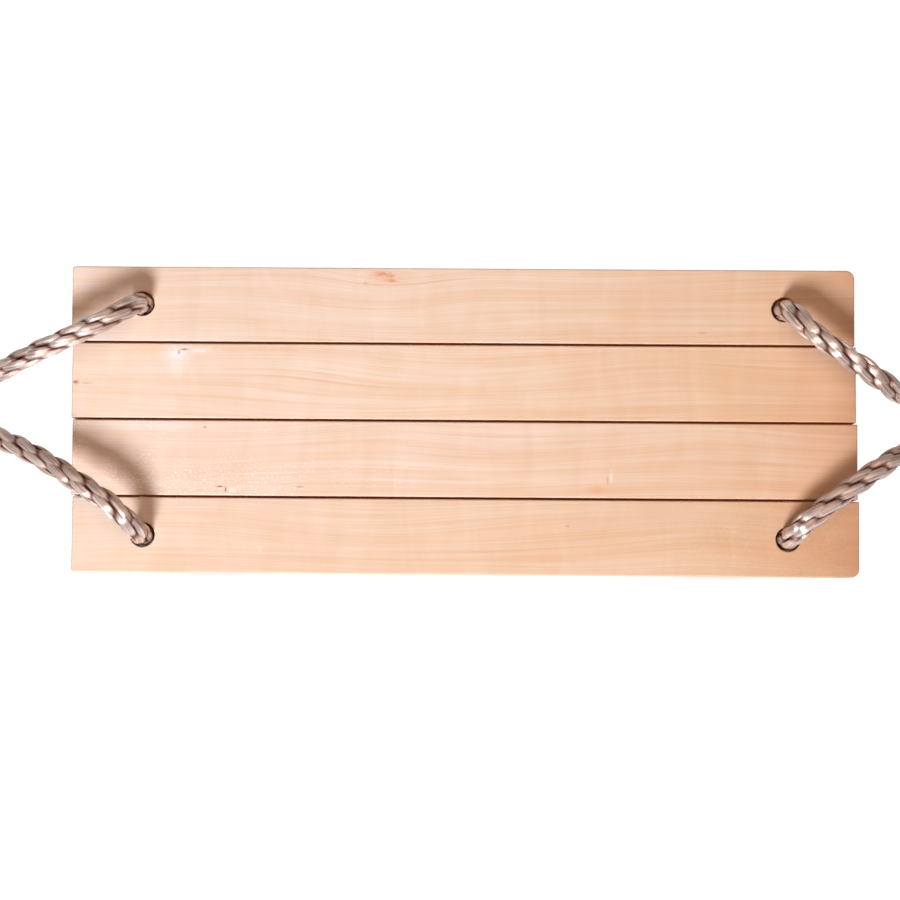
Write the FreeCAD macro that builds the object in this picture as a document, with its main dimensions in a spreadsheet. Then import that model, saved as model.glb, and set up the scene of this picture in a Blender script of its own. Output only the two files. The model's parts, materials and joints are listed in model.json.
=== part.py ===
"""Slatted wooden swing seat on two ropes, put away on the floor.

Millimetres. +X runs along the seat to its right end, +Y across it to the back, +Z up.
The origin is on the floor under the middle of the seat.
"""
import FreeCAD, Part
import math
import os

import Sketcher
from FreeCAD import Placement, Rotation, Vector

SIZES = {
    "seat_length": 450.0,
    "slat_width": 43.2,
    "slat_thickness": 20.0,
    "slat_gap": 1.15,
    "slat_stagger": 0.74,
    "arris_radius": 0.9,
    "left_corner_radius": 1.8,
    "right_corner_radius": 4.8,
    "rope_hole_clearance": 1.5,
    "rope_hole_inset": 40.5,
    "rope_hole_top_lip": 0.7,
    "rope_hole_bottom_lip": 2.5,
    "back_right_hole_drift": 1.2,
    "cleat_width": 40.0,
    "cleat_thickness": 19.0,
    "cleat_rope_clearance": 11.25,
    "cleat_setback": 5.0,
    "cleat_arris": 1.5,
    "screw_diameter": 4.0,
    "screw_head_diameter": 8.0,
    "screw_head_height": 2.4,
    "screw_bite": 12.0,
    "screw_sink": 0.6,
    "screw_spacing": 20.0,
    "screw_offset": 8.0,
    "screw_clearance": 0.25,
    "drive_width": 4.4,
    "drive_slot": 1.1,
    "drive_depth": 1.9,
    "rope_diameter": 12.5,
    "coil_middle_diameter": 128.0,
    "tie_width": 16.0,
    "tie_thickness": 1.2,
    "knot_turns": 3.0,
    "eye_diameter": 25.0,
    "eye_rise": 0.15,
    "whipping_length": 20.0,
    "whipping_thickness": 1.2,
    "ring_inside_diameter": 50.0,
    "ring_wire_diameter": 8.0,
    "ring_seat_clearance": 0.3,
}

SLATS = ("front_slat", "front_middle_slat", "back_middle_slat", "back_slat")
SIDES = {"left": -1, "right": 1}
COLUMNS = 2  # turns of a coil side by side
LAYERS = 2  # turns of a coil one on another

# Each rope's route outside its coil and its knot, as (outward from the seat's middle, back, up).
BRIDLE = {
    "left": [
        (314.5, 14.6, 18.9), (297.0, 16.4, 22.6), (281.5, 20.0, 34.0), (264.5, 26.4, 47.5),
        (244.0, 35.6, 57.5), (222.0, 44.6, 63.0), (203.0, 53.5, 64.5), (191.0, 61.5, 60.5),
        (185.6, 66.5, 48.0), (185.6, 66.5, 10.8),
        (185.1, 38.0, 10.2), (184.6, 0.0, 9.6), (183.9, -38.0, 10.2),
        (183.4, -66.5, 10.8), (183.4, -66.5, 48.0), (187.6, -60.7, 60.5),
        (197.0, -50.5, 64.5), (214.5, -39.2, 63.0), (233.0, -27.3, 59.5), (250.0, -18.6, 53.5),
        (266.0, -11.8, 44.0), (282.0, -5.0, 32.0), (297.0, 0.2, 22.6), (314.5, 2.0, 18.9),
    ],
    "right": [
        (300.5, 6.3, 18.9), (285.0, 6.9, 21.8), (270.0, 9.0, 31.5), (253.5, 13.4, 43.0),
        (236.0, 24.2, 52.5), (217.0, 36.6, 57.0), (199.0, 48.8, 58.0), (188.0, 59.5, 55.5),
        (183.4, 65.3, 46.0), (183.4, 65.3, 10.8),
        (183.9, 37.0, 10.2), (184.6, -1.0, 9.6), (185.1, -38.0, 10.2),
        (185.6, -66.5, 10.8), (185.6, -66.5, 46.0), (190.4, -60.4, 55.5),
        (201.5, -50.9, 58.0), (218.5, -37.9, 57.0), (237.0, -25.2, 52.5), (254.0, -14.8, 43.0),
        (270.0, -8.8, 31.5), (285.0, -6.5, 21.8), (300.5, -6.3, 18.9),
    ],
}
KNOT_START = {"left": (312.0, 8.3), "right": (298.0, 0.0)}
FALL = {
    "left": [(347.0, 2.0, 18.9), (366.0, 1.6, 17.6), (388.0, -7.2, 11.8), (410.6, -24.6, 7.4)],
    "right": [(333.0, -6.3, 18.9), (352.0, -6.7, 17.6), (374.5, -14.6, 11.8), (398.0, -30.4, 7.4)],
}
COIL_CENTRE = {"left": (457.0, 22.0), "right": (441.0, 22.0)}
# The rope's upper end, on top of the coil, as (radius, degrees) about the coil's middle.
UPPER_END = [
    (70.0, -171.0), (70.0, -149.0), (69.5, -127.0), (69.0, -104.0), (68.5, -81.0), (68.0, -58.0),
    (67.5, -35.0), (67.0, -12.0), (66.5, 11.0), (66.0, 34.0), (66.0, 57.0),
]
EYE_LEG = [(65.0, 78.0), (62.0, 97.0)]
EYE_POLAR = (57.0, 116.0)
EYE_HEADING = 225.0
TIE_DEGREES = -82.0

doc = FreeCAD.newDocument("SwingSeat")
sheet = doc.addObject("Spreadsheet::Sheet", "Sizes")
for row, (alias, value) in enumerate(SIZES.items(), 1):
    sheet.set(f"A{row}", alias)
    sheet.set(f"B{row}", str(value))
    sheet.setAlias(f"B{row}", alias)
doc.recompute()


def size(alias):
    """A driving dimension, read from the sheet."""
    return float(sheet.get(alias))


ROPE_R = size("rope_diameter") / 2
PITCH = size("slat_width") + size("slat_gap")
SEAT_WIDTH = 3 * PITCH + size("slat_width")
ROPE_HOLE_X = size("seat_length") / 2 - size("rope_hole_inset")
CLEAT_X = ROPE_HOLE_X - ROPE_R - size("cleat_rope_clearance") - size("cleat_width") / 2
COIL_R = size("coil_middle_diameter") / 2
COIL_TOP = LAYERS * size("rope_diameter")
UPPER_Z = COIL_TOP + ROPE_R + size("whipping_thickness") + size("eye_rise")
parts = []


def keep(item, label):
    """Names a finished sub-part."""
    item.Label = label
    parts.append(item)


def plane(body, role):
    """One of a body's own origin planes."""
    return next(p for p in body.Origin.OriginFeatures if p.Role == role)


def new_sketch(body, name):
    """A sketch on the body's own level plane."""
    sketch = body.newObject("Sketcher::SketchObject", name)
    sketch.AttachmentSupport = [(plane(body, "XY_Plane"), "")]
    sketch.MapMode = "FlatFace"
    return sketch


def dimension(sketch, kind, points, name, expression, value):
    """A named dimension that follows an expression."""
    index = sketch.addConstraint(Sketcher.Constraint(kind, *points, value))
    sketch.renameConstraint(index, name)
    sketch.setExpression(f"Constraints.{name}", expression)


def centred_rectangle(sketch, length, width, expressions):
    """A rectangle with its middle on the sketch's origin."""
    a, b = length / 2, width / 2
    corners = [Vector(-a, -b, 0), Vector(a, -b, 0), Vector(a, b, 0), Vector(-a, b, 0)]
    for i in range(4):
        sketch.addGeometry(Part.LineSegment(corners[i], corners[(i + 1) % 4]), False)
    for i in range(4):
        sketch.addConstraint(Sketcher.Constraint("Coincident", i, 2, (i + 1) % 4, 1))
    for i, kind in enumerate(("Horizontal", "Vertical", "Horizontal", "Vertical")):
        sketch.addConstraint(Sketcher.Constraint(kind, i))
    sketch.addConstraint(Sketcher.Constraint("Symmetric", 0, 1, 2, 1, -1, 1))
    dimension(sketch, "DistanceX", (0, 1, 0, 2), "length", expressions[0], length)
    dimension(sketch, "DistanceY", (1, 1, 1, 2), "width", expressions[1], width)


def pad(body, sketch, expression):
    """Pads a sketch upwards."""
    feature = body.newObject("PartDesign::Pad", "Pad")
    feature.Profile = sketch
    feature.setExpression("Length", expression)
    sketch.Visibility = False
    doc.recompute()
    return feature


def round_edges(body, name, expression, wanted):
    """Fillets every edge of a body that the test picks."""
    base = body.Tip
    names = [f"Edge{i}" for i, edge in enumerate(base.Shape.Edges, 1) if wanted(edge)]
    feature = body.newObject("PartDesign::Fillet", name)
    feature.Base = (base, names)
    feature.setExpression("Radius", expression)
    doc.recompute()
    return feature


def upright_at(edge, x, y):
    """True for a vertical straight edge at one corner."""
    box = edge.BoundBox
    return box.ZLength > 1 and abs(box.Center.x - x) < 0.01 and abs(box.Center.y - y) < 0.01


def is_rim(edge, height):
    """True for an edge that lies in the bottom or the top face."""
    box = edge.BoundBox
    level = min(abs(box.ZMin), abs(box.ZMin - height))
    return box.ZLength < 0.01 and level < 0.01


def make_slat(index, label):
    """One slat, with a rounded outer corner at each end and rope holes if it is an outer one."""
    length, width, thick = size("seat_length"), size("slat_width"), size("slat_thickness")
    place = index - 1.5
    body = doc.addObject("PartDesign::Body", f"{label}_blank")
    outline = new_sketch(body, f"{label}_outline")
    centred_rectangle(outline, length, width, ("Sizes.seat_length", "Sizes.slat_width"))
    pad(body, outline, "Sizes.slat_thickness")
    if abs(place) > 1:
        outer = math.copysign(width / 2, place)
        for side, end in SIDES.items():
            corner = (end * length / 2, outer)
            round_edges(
                body, f"{label}_{side}_corner", f"Sizes.{side}_corner_radius",
                lambda e, at=corner: upright_at(e, *at),
            )
    round_edges(body, f"{label}_arris", "Sizes.arris_radius", lambda e: is_rim(e, thick))
    if abs(place) > 1:
        add_rope_holes(body, label, place > 0)
    body.setExpression("Placement.Base.x", f"{-place} * Sizes.slat_stagger")
    body.setExpression(
        "Placement.Base.y", f"{place} * (Sizes.slat_width + Sizes.slat_gap)"
    )
    body.setExpression("Placement.Base.z", "Sizes.cleat_thickness")
    places = [p for side in SIDES for p in screw_places(side)]
    keep_bored(body, label, [p for p in places if abs(p.y - place * PITCH) < width / 2])


def add_rope_holes(body, label, at_back):
    """Two through holes with rounded lips, one near each end of a slat."""
    radius = (size("rope_diameter") + size("rope_hole_clearance")) / 2
    drift = -size("back_right_hole_drift") if at_back else 0.0
    sketch = new_sketch(body, f"{label}_holes")
    for i, end in enumerate(SIDES.values()):
        y = drift if end > 0 else 0.0
        sketch.addGeometry(Part.Circle(Vector(end * ROPE_HOLE_X, y, 0), Vector(0, 0, 1), radius), False)
        dimension(
            sketch, "Radius", (i,), f"radius_{i}",
            "(Sizes.rope_diameter + Sizes.rope_hole_clearance) / 2", radius,
        )
        dimension(
            sketch, "DistanceX", (i, 3, -1, 1) if end < 0 else (-1, 1, i, 3), f"reach_{i}",
            "Sizes.seat_length / 2 - Sizes.rope_hole_inset", ROPE_HOLE_X,
        )
        if y:
            dimension(sketch, "DistanceY", (i, 3, -1, 1), "drift", "Sizes.back_right_hole_drift", -y)
        else:
            sketch.addConstraint(Sketcher.Constraint("PointOnObject", i, 3, -1))
    cut = body.newObject("PartDesign::Pocket", f"{label}_hole_cut")
    cut.Profile = sketch
    cut.Type = "ThroughAll"
    cut.Reversed = True
    doc.recompute()
    for face, level in (("bottom", 0.0), ("top", size("slat_thickness"))):
        round_edges(
            body, f"{label}_{face}_lips", f"Sizes.rope_hole_{face}_lip",
            lambda e, z=level: is_circle(e, radius) and abs(e.BoundBox.ZMin - z) < 0.01,
        )


def is_circle(edge, radius):
    """True for a whole circle of this radius."""
    return edge.Closed and hasattr(edge.Curve, "Radius") and abs(edge.Curve.Radius - radius) < 0.01


def screw_places(side):
    """Where one cleat's screws go: two to each slat, staggered across the cleat."""
    middle = SIDES[side] * CLEAT_X
    for index in range(len(SLATS)):
        for way in (-1, 1):
            x = middle + way * size("screw_offset")
            yield Vector(x, (index - 1.5) * PITCH + way * size("screw_spacing") / 2, 0)


def screw_solid(gap=0.0):
    """A countersunk screw, head down on z = 0, grown all round by a gap for its hole."""
    head, core = size("screw_head_diameter") / 2 + gap, size("screw_diameter") / 2 + gap
    top, sink = size("cleat_thickness") + size("screw_bite"), size("screw_sink")
    low = -1.0 if gap else sink
    neck = sink + size("screw_head_height") + gap
    tip = top + gap
    outline = [
        (0, low), (head, low), (head, sink + 0.2), (core, neck),
        (core, tip - core), (0.3, tip), (0, tip),
    ]
    wire = Part.makePolygon([Vector(r, 0, z) for r, z in outline + outline[:1]])
    solid = Part.Face(wire).revolve(Vector(0, 0, 0), Vector(0, 0, 1), 360)
    if gap:
        return solid
    arm, slot, depth = size("drive_width"), size("drive_slot"), size("drive_depth")
    for a, b in ((arm, slot), (slot, arm)):
        recess = Part.makeBox(a, b, depth, Vector(-a / 2, -b / 2, sink))
        solid = solid.cut(recess)
    return solid


def make_cleat(side):
    """A batten under one end of the slats, countersunk for its screws from below."""
    length = SEAT_WIDTH - 2 * size("cleat_setback")
    label = f"{side}_cleat"
    body = doc.addObject("PartDesign::Body", f"{label}_blank")
    outline = new_sketch(body, f"{label}_outline")
    across = "3 * (Sizes.slat_width + Sizes.slat_gap) + Sizes.slat_width - 2 * Sizes.cleat_setback"
    centred_rectangle(outline, size("cleat_width"), length, ("Sizes.cleat_width", across))
    pad(body, outline, "Sizes.cleat_thickness")
    round_edges(
        body, f"{label}_arris", "Sizes.cleat_arris",
        lambda e: e.BoundBox.ZMax < 0.01,
    )
    body.setExpression(
        "Placement.Base.x",
        f"{SIDES[side]} * (Sizes.seat_length / 2 - Sizes.rope_hole_inset - Sizes.rope_diameter / 2"
        " - Sizes.cleat_rope_clearance - Sizes.cleat_width / 2)",
    )
    keep_bored(body, label, list(screw_places(side)))


def keep_bored(body, label, places):
    """Keeps a body with a hole cut for each screw, a clearance larger than the screw."""
    hole = screw_solid(size("screw_clearance"))
    tool = doc.addObject("Part::Feature", f"{label}_screw_holes")
    tool.Shape = Part.makeCompound([moved(hole, p) for p in places])
    cut = doc.addObject("Part::Cut", f"{label}_bored")
    cut.Base = body
    cut.Tool = tool
    doc.recompute()
    keep(cut, label)


def moved(shape, place):
    """A copy of a shape at a place."""
    copy = shape.copy()
    copy.translate(place)
    return copy


def make_screws(side):
    """One cleat's set of screws."""
    item = doc.addObject("Part::Feature", f"{side}_cleat_screws")
    item.Shape = Part.makeCompound([moved(screw_solid(), p) for p in screw_places(side)])
    keep(item, f"{side}_cleat_screws")


def rope_path(points):
    """Straight runs joined by the largest tangent arcs that the runs allow, and the arcs' radii."""
    edges, radii, last = [], [], points[0]
    for before, here, after in zip(points, points[1:], points[2:]):
        back, ahead = before - here, after - here
        half_turn = (math.pi - back.getAngle(ahead)) / 2
        trim = 0.45 * min(back.Length, ahead.Length)
        back.normalize()
        ahead.normalize()
        radius = trim / math.tan(half_turn)
        bisector = back + ahead
        bisector.normalize()
        depth = radius / math.cos(half_turn) - radius
        start, end = here + back * trim, here + ahead * trim
        edges.append(Part.LineSegment(last, start).toShape())
        edges.append(Part.Arc(start, here + bisector * depth, end).toShape())
        radii.append(radius)
        last = end
    edges.append(Part.LineSegment(last, points[-1]).toShape())
    return Part.Wire(edges), radii


def rope_tube(points, label):
    """A rope's plain tube along its route, checked against its section times its length."""
    wire, radii = rope_path(points)
    first = points[1] - points[0]
    section = Part.Wire(Part.makeCircle(ROPE_R, points[0], first))
    tube = wire.makePipeShell([section], True, False)
    wanted = math.pi * ROPE_R ** 2 * wire.Length
    ratio = tube.Volume / wanted
    print(f"{label}: {wire.Length:.0f} mm, volume ratio {ratio:.4f}, "
          f"radii {', '.join(f'{r:.0f}' for r in radii)}")
    if abs(ratio - 1) > 0.01 or not tube.isValid():
        raise ValueError(f"{label} is not a clean tube")
    return tube


def outward(side, u, y, z):
    """A point given as distance outward from the seat's middle."""
    return Vector(SIDES[side] * u, y, z)


def on_coil(side, radius, degrees, z):
    """A point given about the middle of one side's coil."""
    u, y = COIL_CENTRE[side]
    turn = math.radians(degrees)
    return outward(side, u + radius * math.cos(turn), y + radius * math.sin(turn), z)


def eye_frame(side):
    """The middle of the rope's eye and the level direction that its ring lies in."""
    middle = on_coil(side, *EYE_POLAR, UPPER_Z + size("eye_diameter") / 2)
    turn = math.radians(EYE_HEADING)
    heading = Vector(SIDES[side] * math.cos(turn), math.sin(turn), 0)
    return middle, heading


def make_bridle(side):
    """The rope's two legs and the stretch between them under the seat."""
    item = doc.addObject("Part::Feature", f"{side}_rope_bridle")
    item.Shape = rope_tube([outward(side, *p) for p in BRIDLE[side]], item.Name)
    keep(item, item.Name)


def make_knot(side):
    """The knot's outer shape: turns round three rope parts laid in a triangle."""
    wrap = 1.5 * size("rope_diameter")
    length = size("knot_turns") * size("rope_diameter")
    u, y = KNOT_START[side]
    high = ROPE_R * math.sqrt(3)
    centres = [(-ROPE_R, wrap), (ROPE_R, wrap), (0.0, wrap + high)]
    shape = None
    for b, c in centres:
        rod = Part.makeCylinder(wrap, length, Vector(u, y + b, c), Vector(1, 0, 0))
        shape = rod if shape is None else shape.fuse(rod)
    corners = [Vector(u, y + b, c) for b, c in hull_corners(centres, wrap)]
    core = Part.Face(Part.makePolygon(corners + corners[:1])).extrude(Vector(length, 0, 0))
    shape = shape.fuse(core).removeSplitter()
    ends = [e for e in shape.Edges if e.BoundBox.XLength < 0.01]
    shape = shape.makeFillet(0.7 * ROPE_R, ends)
    if SIDES[side] < 0:
        shape = shape.mirror(Vector(0, 0, 0), Vector(1, 0, 0))
    item = doc.addObject("Part::Feature", f"{side}_rope_knot")
    item.Shape = shape
    keep(item, item.Name)


def hull_corners(centres, reach):
    """The points where the outer tangents of three equal circles touch them, in order."""
    corners = []
    for (b0, c0), (b1, c1) in zip(centres, centres[1:] + centres[:1]):
        along = math.hypot(b1 - b0, c1 - c0)
        out = ((c1 - c0) / along * reach, -(b1 - b0) / along * reach)
        corners += [(b0 + out[0], c0 + out[1]), (b1 + out[0], c1 + out[1])]
    return corners


def make_fall(side):
    """The hanging rope from its knot to its coil."""
    item = doc.addObject("Part::Feature", f"{side}_rope_fall")
    item.Shape = rope_tube([outward(side, *p) for p in FALL[side]], item.Name)
    keep(item, item.Name)


def make_coil(side):
    """The outer shape of the hanging rope wound into a round coil."""
    across, high = COLUMNS * size("rope_diameter"), COIL_TOP
    u, y = COIL_CENTRE[side]
    inner = COIL_R - across / 2
    ring = Part.makeCylinder(inner + across, high).cut(Part.makeCylinder(inner, high))
    rims = [e for e in ring.Edges if e.BoundBox.ZLength < 0.01 and e.Closed]
    ring = ring.makeFillet(ROPE_R * 0.98, rims)
    ring.translate(outward(side, u, y, 0))
    item = doc.addObject("Part::Feature", f"{side}_rope_coil")
    item.Shape = ring
    keep(item, item.Name)


def make_tie(side):
    """A tape round the coil's turns, let into their underside."""
    across, thick, wide = COLUMNS * size("rope_diameter"), size("tie_thickness"), size("tie_width")
    shells = []
    for grow, low in ((thick, 0.0), (0.0, thick)):
        corner = Vector(-across / 2 - grow, -wide / 2, low)
        box = Part.makeBox(across + 2 * grow, wide, COIL_TOP + grow - low, corner)
        long_edges = [e for e in box.Edges if e.BoundBox.YLength > wide - 0.01]
        shells.append(box.makeFillet(ROPE_R * 0.9 + grow, long_edges))
    item = doc.addObject("Part::Feature", f"{side}_coil_tie")
    item.Shape = shells[0].cut(shells[1])
    angle = SIDES[side] * TIE_DEGREES
    item.Placement = Placement(on_coil(side, COIL_R, TIE_DEGREES, 0), Rotation(Vector(0, 0, 1), angle))
    keep(item, item.Name)


def eye_route(side):
    """The rope's upper end: up onto the coil, round the eye and back over itself."""
    middle, heading = eye_frame(side)
    rise = Vector(0, 0, size("eye_diameter") / 2)
    lower = [on_coil(side, r, a, UPPER_Z) for r, a in EYE_LEG]
    climb = [COIL_TOP - ROPE_R, COIL_TOP, UPPER_Z - 1.5]
    climb += [UPPER_Z] * (len(UPPER_END) - len(climb))
    start = [on_coil(side, r, a, z) for (r, a), z in zip(UPPER_END, climb)]
    ahead = heading * (size("eye_diameter") / 2)
    turn = [middle - rise + ahead, middle + rise + ahead, middle + rise - ahead * 0.6]
    lift = Vector(0, 0, size("rope_diameter") + size("eye_rise"))
    back = [lower[1] + lift, lower[0] + lift]
    return start + lower + turn + back


def make_eye(side):
    """The rope's upper end on the coil, with its eye."""
    item = doc.addObject("Part::Feature", f"{side}_rope_eye")
    item.Shape = rope_tube(eye_route(side), item.Name)
    keep(item, item.Name)


def make_whipping(side):
    """Twine bound round the eye's two rope parts, as one closed sleeve."""
    low, high = (on_coil(side, r, a, UPPER_Z) for r, a in reversed(EYE_LEG))
    along = high - low
    along.normalize()
    middle = (low + high) * 0.5
    length, thick = size("whipping_length"), size("whipping_thickness")
    gap = size("rope_diameter") + size("eye_rise")
    sleeves = []
    for radius in (ROPE_R + thick, ROPE_R):
        start = middle - along * (length / 2)
        rods = [Part.makeCylinder(radius, length, start + Vector(0, 0, z), along) for z in (0, gap)]
        across = along.cross(Vector(0, 0, 1)) * radius
        corners = [start + across, start + across + Vector(0, 0, gap),
                   start - across + Vector(0, 0, gap), start - across]
        web = Part.Face(Part.makePolygon(corners + corners[:1])).extrude(along * length)
        sleeves.append(rods[0].fuse(rods[1]).fuse(web))
    item = doc.addObject("Part::Feature", f"{side}_eye_whipping")
    item.Shape = sleeves[0].cut(sleeves[1]).removeSplitter()
    keep(item, item.Name)


def make_ring(side):
    """The steel hanging ring, lying down from the eye onto the coil."""
    wire = size("ring_wire_diameter") / 2
    radius = size("ring_inside_diameter") / 2 + wire
    middle, heading = eye_frame(side)
    drop = middle.z - (COIL_TOP + wire + size("ring_seat_clearance"))
    tilt = math.asin(drop / (2 * radius))
    slope = heading * math.cos(tilt) - Vector(0, 0, math.sin(tilt))
    axle = Vector(heading.y, -heading.x, 0)
    item = doc.addObject("Part::Torus", f"{side}_hanging_ring")
    item.setExpression("Radius1", "Sizes.ring_inside_diameter / 2 + Sizes.ring_wire_diameter / 2")
    item.setExpression("Radius2", "Sizes.ring_wire_diameter / 2")
    item.Placement = Placement(middle + slope * radius, Rotation(slope, axle, slope.cross(axle), "ZXY"))
    print(f"{item.Name}: hinge at {tuple(round(c, 2) for c in middle)}, "
          f"axis {tuple(round(c, 4) for c in axle)}, tilt {math.degrees(tilt):.1f}")
    keep(item, item.Name)


for number, slat_label in enumerate(SLATS):
    make_slat(number, slat_label)
for side_name in SIDES:
    make_cleat(side_name)
    make_screws(side_name)
    make_bridle(side_name)
    make_knot(side_name)
    make_fall(side_name)
    make_coil(side_name)
    make_tie(side_name)
    make_eye(side_name)
    make_whipping(side_name)
    make_ring(side_name)
doc.recompute()

for thing in doc.Objects:
    if {"Invalid", "Error"} & set(thing.State):
        raise ValueError(f"{thing.Label} is {thing.State}")
for part in parts:
    if part.Shape.isNull() or not part.Shape.isValid():
        raise ValueError(f"{part.Label} has no valid shape")
os.makedirs("parts", exist_ok=True)
for part in parts:
    part.Shape.exportStep(f"parts/{part.Label}.step")
print(len(parts), "sub-parts written")
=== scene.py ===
"""Looks for the slatted rope swing: braided ropes, knots, twine, wood grain and light.

Metres, in the row frame: +X along the seat to its right end, +Y to its back, +Z up. The tables
of route points and of marks on the wood are in millimetres, and say so.
"""
import json
import math

import bpy
import numpy as np
from mathutils import Euler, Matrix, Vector

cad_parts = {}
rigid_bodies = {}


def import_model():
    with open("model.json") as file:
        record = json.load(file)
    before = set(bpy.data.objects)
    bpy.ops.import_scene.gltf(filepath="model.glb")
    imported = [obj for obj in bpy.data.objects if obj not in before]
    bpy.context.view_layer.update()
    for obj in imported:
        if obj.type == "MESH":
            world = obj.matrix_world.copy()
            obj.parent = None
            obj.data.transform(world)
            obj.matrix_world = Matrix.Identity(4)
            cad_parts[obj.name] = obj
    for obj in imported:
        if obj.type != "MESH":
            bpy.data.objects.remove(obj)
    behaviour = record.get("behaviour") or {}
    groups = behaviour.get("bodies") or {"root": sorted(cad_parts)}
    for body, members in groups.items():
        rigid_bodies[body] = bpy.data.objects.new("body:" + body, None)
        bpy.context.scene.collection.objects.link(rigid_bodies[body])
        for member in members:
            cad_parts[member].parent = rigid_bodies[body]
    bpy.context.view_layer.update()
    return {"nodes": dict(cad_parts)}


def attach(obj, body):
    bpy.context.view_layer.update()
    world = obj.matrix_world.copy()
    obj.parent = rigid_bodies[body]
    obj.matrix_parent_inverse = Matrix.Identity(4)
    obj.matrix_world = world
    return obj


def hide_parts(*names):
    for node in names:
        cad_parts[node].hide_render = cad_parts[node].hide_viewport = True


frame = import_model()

MM = 0.001
SIDES = {"left": -1, "right": 1}
SEAT_HALF_LENGTH = 0.225
SEAT_HALF_WIDTH = 0.088
WHITE = (1, 1, 1, 1)

# ---------------------------------------------------------------- rope sizes

ROPE_D = 12.5 * MM
ROPE_R = ROPE_D / 2
STRANDS = 9
LOBE = 16.0 * MM  # length of one strand's stretch on the rope's surface
LOBE_TURN = 19.0  # degrees that a lobe's ends are turned round the rope from its middle
ROW_TURN = 60.0  # degrees from one row of lobes to the next
CORE = 1.5  # how deep in the core a strand is, where 0 is a lobe's middle and 1 its end
COIL_R = 64.0 * MM
COIL_TURNS = 4
COIL_START, COIL_END = -125.0, -171.0  # degrees about the coil's middle
UPPER_Z = 32.6 * MM  # the rope's middle line on top of the coil
EYE_D = 25.0 * MM
EYE_RISE = 0.15 * MM
WHIPPING_LENGTH = 20.0 * MM
TWINE_D = 1.2 * MM

# Each rope's route outside its coil and its knot, as (outward from the seat's middle, back, up)
# in millimetres.
BRIDLE = {
    "left": [
        (314.5, 14.6, 18.9), (297.0, 16.4, 22.6), (281.5, 20.0, 34.0), (264.5, 26.4, 47.5),
        (244.0, 35.6, 57.5), (222.0, 44.6, 63.0), (203.0, 53.5, 64.5), (191.0, 61.5, 60.5),
        (185.6, 66.5, 48.0), (185.6, 66.5, 10.8),
        (185.1, 38.0, 10.2), (184.6, 0.0, 9.6), (183.9, -38.0, 10.2),
        (183.4, -66.5, 10.8), (183.4, -66.5, 48.0), (187.6, -60.7, 60.5),
        (197.0, -50.5, 64.5), (214.5, -39.2, 63.0), (233.0, -27.3, 59.5), (250.0, -18.6, 53.5),
        (266.0, -11.8, 44.0), (282.0, -5.0, 32.0), (297.0, 0.2, 22.6), (314.5, 2.0, 18.9),
    ],
    "right": [
        (300.5, 6.3, 18.9), (285.0, 6.9, 21.8), (270.0, 9.0, 31.5), (253.5, 13.4, 43.0),
        (236.0, 24.2, 52.5), (217.0, 36.6, 57.0), (199.0, 48.8, 58.0), (188.0, 59.5, 55.5),
        (183.4, 65.3, 46.0), (183.4, 65.3, 10.8),
        (183.9, 37.0, 10.2), (184.6, -1.0, 9.6), (185.1, -38.0, 10.2),
        (185.6, -66.5, 10.8), (185.6, -66.5, 46.0), (190.4, -60.4, 55.5),
        (201.5, -50.9, 58.0), (218.5, -37.9, 57.0), (237.0, -25.2, 52.5), (254.0, -14.8, 43.0),
        (270.0, -8.8, 31.5), (285.0, -6.5, 21.8), (300.5, -6.3, 18.9),
    ],
}
KNOT_START = {"left": (312.0, 8.3), "right": (298.0, 0.0)}  # the knot's near face and its middle
KNOT_TURNS = 3
KNOT_TOP = 29.6  # the height of the leg that lies on the other two
FALL = {
    "left": [(347.0, 2.0, 18.9), (366.0, 1.6, 17.6), (388.0, -7.2, 11.8), (410.6, -24.6, 7.4)],
    "right": [(333.0, -6.3, 18.9), (352.0, -6.7, 17.6), (374.5, -14.6, 11.8), (398.0, -30.4, 7.4)],
}
COIL_CENTRE = {"left": (457.0, 22.0), "right": (441.0, 22.0)}  # outward and back
# The rope's upper end, on top of the coil: (millimetres, degrees) about the coil's middle.
UPPER_END = [
    (70.0, -171.0), (70.0, -149.0), (69.5, -127.0), (69.0, -104.0), (68.5, -81.0), (68.0, -58.0),
    (67.5, -35.0), (67.0, -12.0), (66.5, 11.0), (66.0, 34.0), (66.0, 57.0),
]
EYE_LEG = [(65.0, 78.0), (62.0, 97.0)]
EYE_POLAR = (57.0, 116.0)
EYE_HEADING = 225.0
BRAID_TURN = {"left": 0.0, "right": 30.0}  # degrees that a bridle's braid is turned about its line


# ---------------------------------------------------------------- routes

def outward(side, u, y, z):
    """A point in metres, given in millimetres outward from the seat's middle."""
    return Vector((SIDES[side] * u * MM, y * MM, z * MM))


def on_coil(side, radius, degrees, z):
    """A point given in millimetres and degrees about the middle of one side's coil."""
    u, y = COIL_CENTRE[side]
    turn = math.radians(degrees)
    return outward(side, u + radius * math.cos(turn), y + radius * math.sin(turn), z)


def nurbs_line(name, points, resolution=12):
    """Points read from a smooth NURBS spline whose control points are the route's points."""
    curve = bpy.data.curves.new(name, "CURVE")
    curve.dimensions = "3D"
    spline = curve.splines.new("NURBS")
    spline.points.add(len(points) - 1)
    for point, at in zip(spline.points, points):
        point.co = (*at, 1.0)
    spline.order_u = 3
    spline.use_endpoint_u = True
    spline.resolution_u = resolution
    holder = bpy.data.objects.new(name, curve)
    bpy.context.scene.collection.objects.link(holder)
    bpy.context.view_layer.update()
    ready = holder.evaluated_get(bpy.context.evaluated_depsgraph_get())
    mesh = bpy.data.meshes.new_from_object(ready)
    line = np.array([v.co[:] for v in mesh.vertices])
    bpy.data.objects.remove(holder)
    bpy.data.curves.remove(curve)
    bpy.data.meshes.remove(mesh)
    return line


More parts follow.
